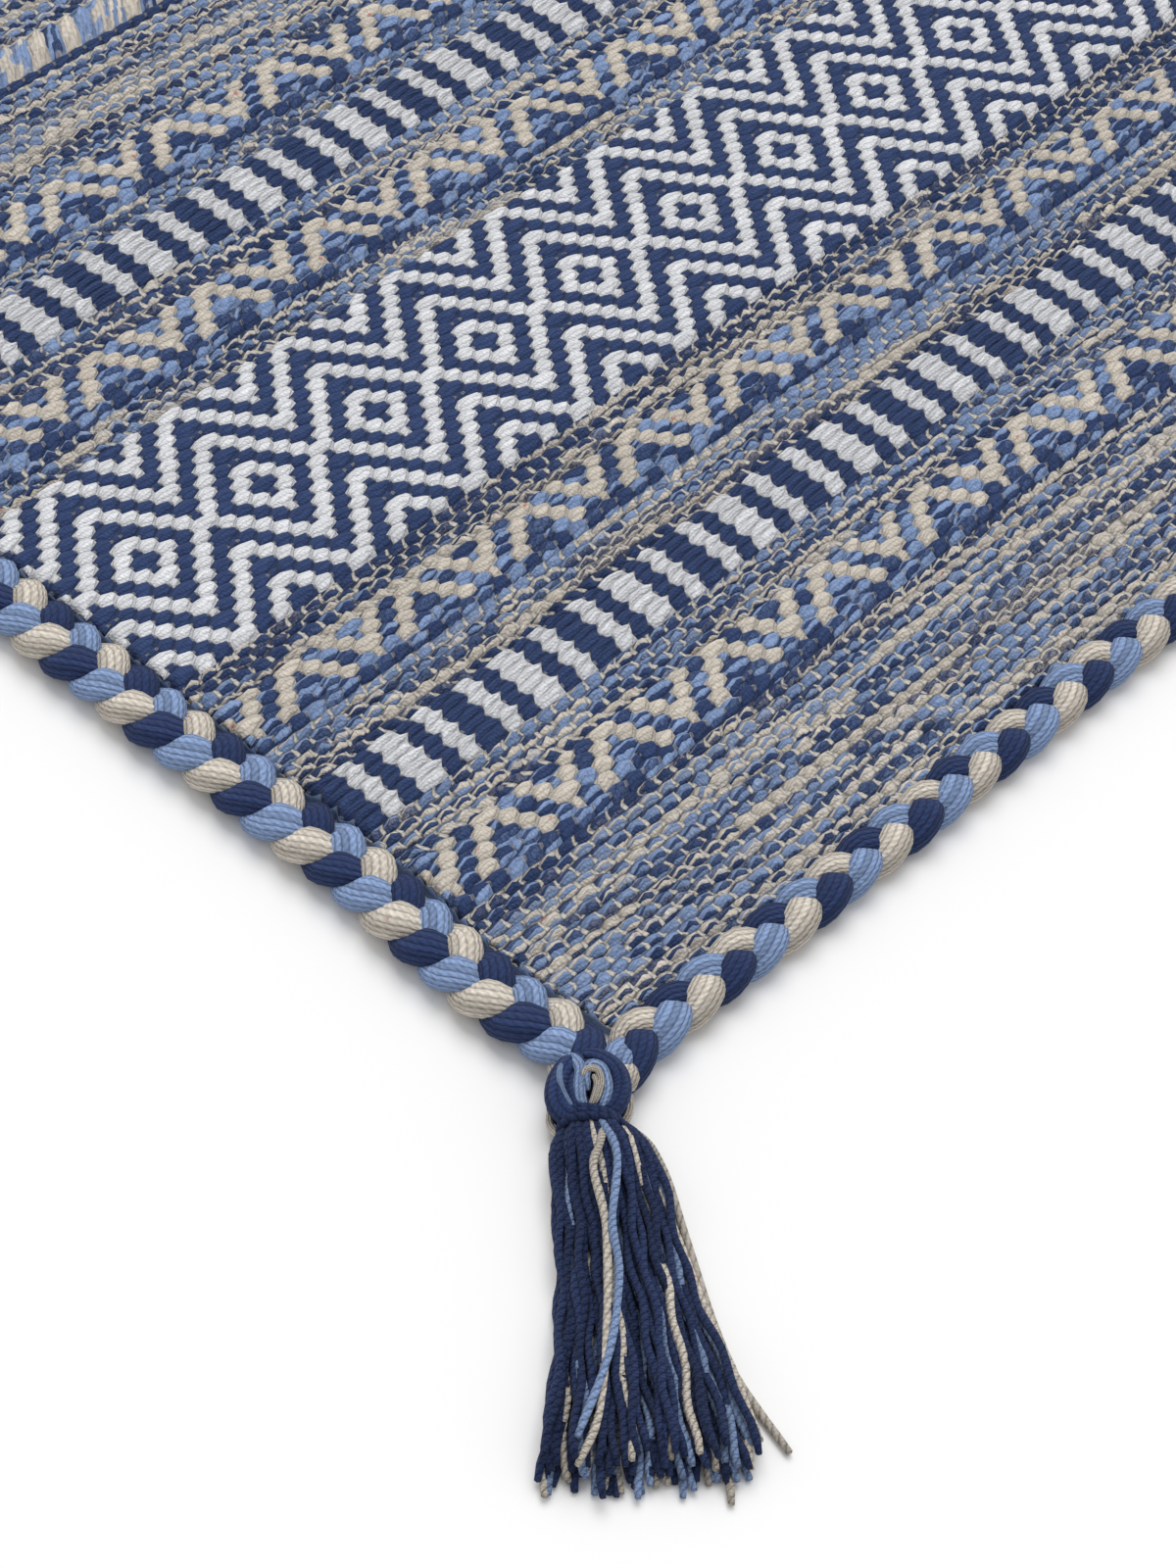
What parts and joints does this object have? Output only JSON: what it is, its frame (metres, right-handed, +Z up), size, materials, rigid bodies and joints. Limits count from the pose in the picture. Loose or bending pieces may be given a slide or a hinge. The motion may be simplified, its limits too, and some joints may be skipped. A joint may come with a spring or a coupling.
{
  "type": "kilim runner",
  "caption": "Long flat-woven cotton runner with banded geometric weave, plaited edging all round and a knotted tassel at each corner.",
  "frame": {"origin": "middle of the runner's footprint, on the surface that it lies on", "axes": "+Z up, +Y along the runner's length, +X across it"},
  "size_m": [0.8766, 2.09, 0.0179],
  "materials": {
    "woven_cotton": "thick cotton flat weave in navy, light blue, natural beige and white, matt",
    "plaited_cotton": "three-strand plait of navy, light blue and natural cotton yarn, matt",
    "tassel_cotton": "loose two-ply cotton yarns, mostly navy with some light blue and natural, matt"
  },
  "bodies": {
    "root": {"cloth": "woven_cotton", "plait_left": "plaited_cotton", "plait_right": "plaited_cotton", "plait_near": "plaited_cotton", "plait_far": "plaited_cotton", "tassel_near_left": "tassel_cotton", "tassel_near_right": "tassel_cotton", "tassel_far_right": "tassel_cotton", "tassel_far_left": "tassel_cotton"}
  },
  "joints": []
}
